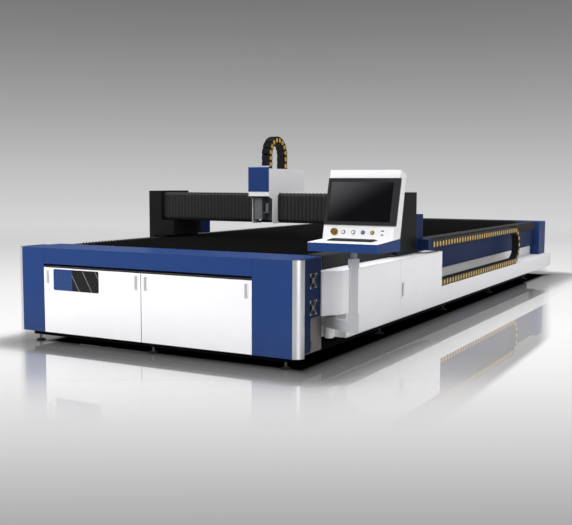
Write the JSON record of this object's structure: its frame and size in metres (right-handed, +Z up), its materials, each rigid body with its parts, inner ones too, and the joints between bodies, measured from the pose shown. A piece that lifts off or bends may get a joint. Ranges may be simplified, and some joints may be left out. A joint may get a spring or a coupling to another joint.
{
  "type": "gantry laser cutting machine",
  "caption": "Long flat-bed sheet cutter with a bellows-covered gantry, arched cable chain, scrap drawers, side cabinet and a swing-arm operator console.",
  "frame": {"origin": "on the floor at the middle of the base of the middle levelling foot in the front row", "axes": "+Z up, +Y along the bed from the scrap drawers to the rear end, +X towards the operator console and side cabinet"},
  "size_m": [3.512, 8.03, 1.9021],
  "materials": {
    "blue_paint": "semi-gloss blue enamel",
    "frame_paint": "blue enamel, dark on the base frame",
    "white_paint": "smooth white enamel",
    "grey_white_paint": "light grey enamel",
    "black_paint": "satin black enamel",
    "slat_steel": "dark scorched steel",
    "column_aluminium": "brushed, anodised",
    "rail_steel": "ground steel",
    "dark_steel": "blackened steel",
    "bellows_cloth": "coated cloth",
    "chain_plastic": "moulded black with yellow links",
    "fan_plastic": "moulded black",
    "handle_plastic": "moulded grey",
    "head_grey": "grey enamel",
    "screen_gloss": "black frame and panel",
    "key_plastic": "moulded dark keys",
    "stop_plastic": "moulded amber",
    "button_metal": "turned cap",
    "amber_cap": "moulded amber"
  },
  "bodies": {
    "bed": {"bed_frame": "frame_paint", "levelling_feet": "dark_steel", "side_wall_left": "white_paint", "side_wall_right": "white_paint", "front_housing": "blue_paint", "corner_columns": "column_aluminium", "end_cover_left": "blue_paint", "end_cover_right": "blue_paint", "fan_units": "fan_plastic", "rear_cover": "blue_paint", "chain_tray": "grey_white_paint", "slat_table": "slat_steel", "long_rails": "rail_steel", "cabinet_body": "grey_white_paint", "drive_panel": "black_paint", "junction_box": "grey_white_paint", "console_bracket": "grey_white_paint", "rail_bellows_front": "bellows_cloth", "rail_bellows_rear": "bellows_cloth", "long_chain_runs": "chain_plastic"},
    "left_drawer": {"scrap_drawer_left": "white_paint", "drawer_handles_left": "handle_plastic"},
    "right_drawer": {"scrap_drawer_right": "white_paint", "drawer_handles_right": "handle_plastic"},
    "front_door": {"cabinet_door_front": "grey_white_paint"},
    "rear_door": {"cabinet_door_rear": "grey_white_paint"},
    "latch": {"door_latch": "black_paint"},
    "lower_fan": {"fan_rotor_lower": "fan_plastic"},
    "upper_fan": {"fan_rotor_upper": "fan_plastic"},
    "gantry": {"gantry_end_left": "black_paint", "gantry_end_right": "black_paint", "gantry_leg_left": "blue_paint", "gantry_leg_right": "blue_paint", "gantry_saddles": "dark_steel", "gantry_beam": "black_paint", "cross_rails": "rail_steel", "beam_bellows_left": "bellows_cloth", "beam_bellows_right": "bellows_cloth", "cross_chain_runs": "chain_plastic"},
    "long_bend": {"long_chain_bend": "chain_plastic"},
    "cross_bend": {"cross_chain_bend": "chain_plastic"},
    "carriage": {"cross_slide": "black_paint", "head_housing": "white_paint", "head_front_plate": "blue_paint", "arched_chain_legs": "chain_plastic"},
    "arched_bend": {"arched_chain_bend": "chain_plastic"},
    "head": {"lift_plate": "dark_steel", "cutting_head": "head_grey", "nozzle": "rail_steel"},
    "swing_arm": {"console_arm": "grey_white_paint", "console_post": "grey_white_paint"},
    "console": {"keyboard_tray": "blue_paint", "console_shell": "white_paint", "console_screen": "screen_gloss", "keyboard": "key_plastic"},
    "stop": {"emergency_stop": "stop_plastic"},
    "start": {"start_button": "button_metal"},
    "pause": {"pause_button": "button_metal"},
    "follow": {"follow_button": "button_metal"},
    "power": {"power_button": "amber_cap"}
  },
  "joints": [
    {"name": "left_drawer_slide", "type": "slide", "parent": "bed", "child": "left_drawer", "axis": [0, -1, 0], "range_m": [0, 0.4]},
    {"name": "right_drawer_slide", "type": "slide", "parent": "bed", "child": "right_drawer", "axis": [0, -1, 0], "range_m": [0, 0.4]},
    {"name": "front_door_hinge", "type": "hinge", "parent": "bed", "child": "front_door", "pos_m": [1.567, 0.486, 0.47], "axis": [0, 0, 1], "range_deg": [-100, 0]},
    {"name": "rear_door_hinge", "type": "hinge", "parent": "bed", "child": "rear_door", "pos_m": [1.567, 2.763, 0.47], "axis": [0, 0, 1], "range_deg": [0, 100]},
    {"name": "latch_turn", "type": "hinge", "parent": "rear_door", "child": "latch", "pos_m": [1.58, 1.7, 0.505], "axis": [1, 0, 0], "range_deg": [0, 90]},
    {"name": "lower_fan_spin", "type": "hinge", "parent": "bed", "child": "lower_fan", "pos_m": [1.43, 0.112, 0.476], "axis": [1, 0, 0], "continuous": true},
    {"name": "upper_fan_spin", "type": "hinge", "parent": "bed", "child": "upper_fan", "pos_m": [1.43, 0.112, 0.685], "axis": [1, 0, 0], "continuous": true},
    {"name": "gantry_slide", "type": "slide", "parent": "bed", "child": "gantry", "axis": [0, 1, 0], "range_m": [-1.2, 3.6], "deforming": ["rail_bellows_front", "rail_bellows_rear", "long_chain_runs"]},
    {"name": "long_bend_slide", "type": "slide", "parent": "bed", "child": "long_bend", "axis": [0, 1, 0], "range_m": [-0.6, 1.8]},
    {"name": "carriage_slide", "type": "slide", "parent": "gantry", "child": "carriage", "axis": [1, 0, 0], "range_m": [-1.02, 0.98], "deforming": ["beam_bellows_left", "beam_bellows_right", "cross_chain_runs"]},
    {"name": "cross_bend_slide", "type": "slide", "parent": "gantry", "child": "cross_bend", "axis": [1, 0, 0], "range_m": [-0.51, 0.49]},
    {"name": "head_slide", "type": "slide", "parent": "carriage", "child": "head", "axis": [0, 0, 1], "range_m": [-0.155, 0], "deforming": ["arched_chain_legs"]},
    {"name": "arched_bend_slide", "type": "slide", "parent": "carriage", "child": "arched_bend", "axis": [0, 0, 1], "range_m": [-0.0775, 0]},
    {"name": "arm_swing", "type": "hinge", "parent": "bed", "child": "swing_arm", "pos_m": [1.458, 0.39, 0.3], "axis": [0, 0, 1], "range_deg": [-30, 5]},
    {"name": "console_swivel", "type": "hinge", "parent": "swing_arm", "child": "console", "pos_m": [1.75005, 0.21591, 0.86], "axis": [0, 0, 1], "range_deg": [-30, 30]},
    {"name": "stop_press", "type": "slide", "parent": "console", "child": "stop", "axis": [0, 0.9655, -0.2605], "range_m": [0, 0.005], "stiffness_N_per_m": 800},
    {"name": "start_press", "type": "slide", "parent": "console", "child": "start", "axis": [0, 0.9655, -0.2605], "range_m": [0, 0.003], "stiffness_N_per_m": 500},
    {"name": "pause_press", "type": "slide", "parent": "console", "child": "pause", "axis": [0, 0.9655, -0.2605], "range_m": [0, 0.003], "stiffness_N_per_m": 500},
    {"name": "follow_press", "type": "slide", "parent": "console", "child": "follow", "axis": [0, 0.9655, -0.2605], "range_m": [0, 0.003], "stiffness_N_per_m": 500},
    {"name": "power_press", "type": "slide", "parent": "console", "child": "power", "axis": [0, 0.9655, -0.2605], "range_m": [0, 0.003], "stiffness_N_per_m": 500}
  ],
  "couplings": [
    {"joint": "long_bend_slide", "follows": "gantry_slide", "ratio": 0.5},
    {"joint": "cross_bend_slide", "follows": "carriage_slide", "ratio": 0.5},
    {"joint": "arched_bend_slide", "follows": "head_slide", "ratio": 0.5}
  ]
}
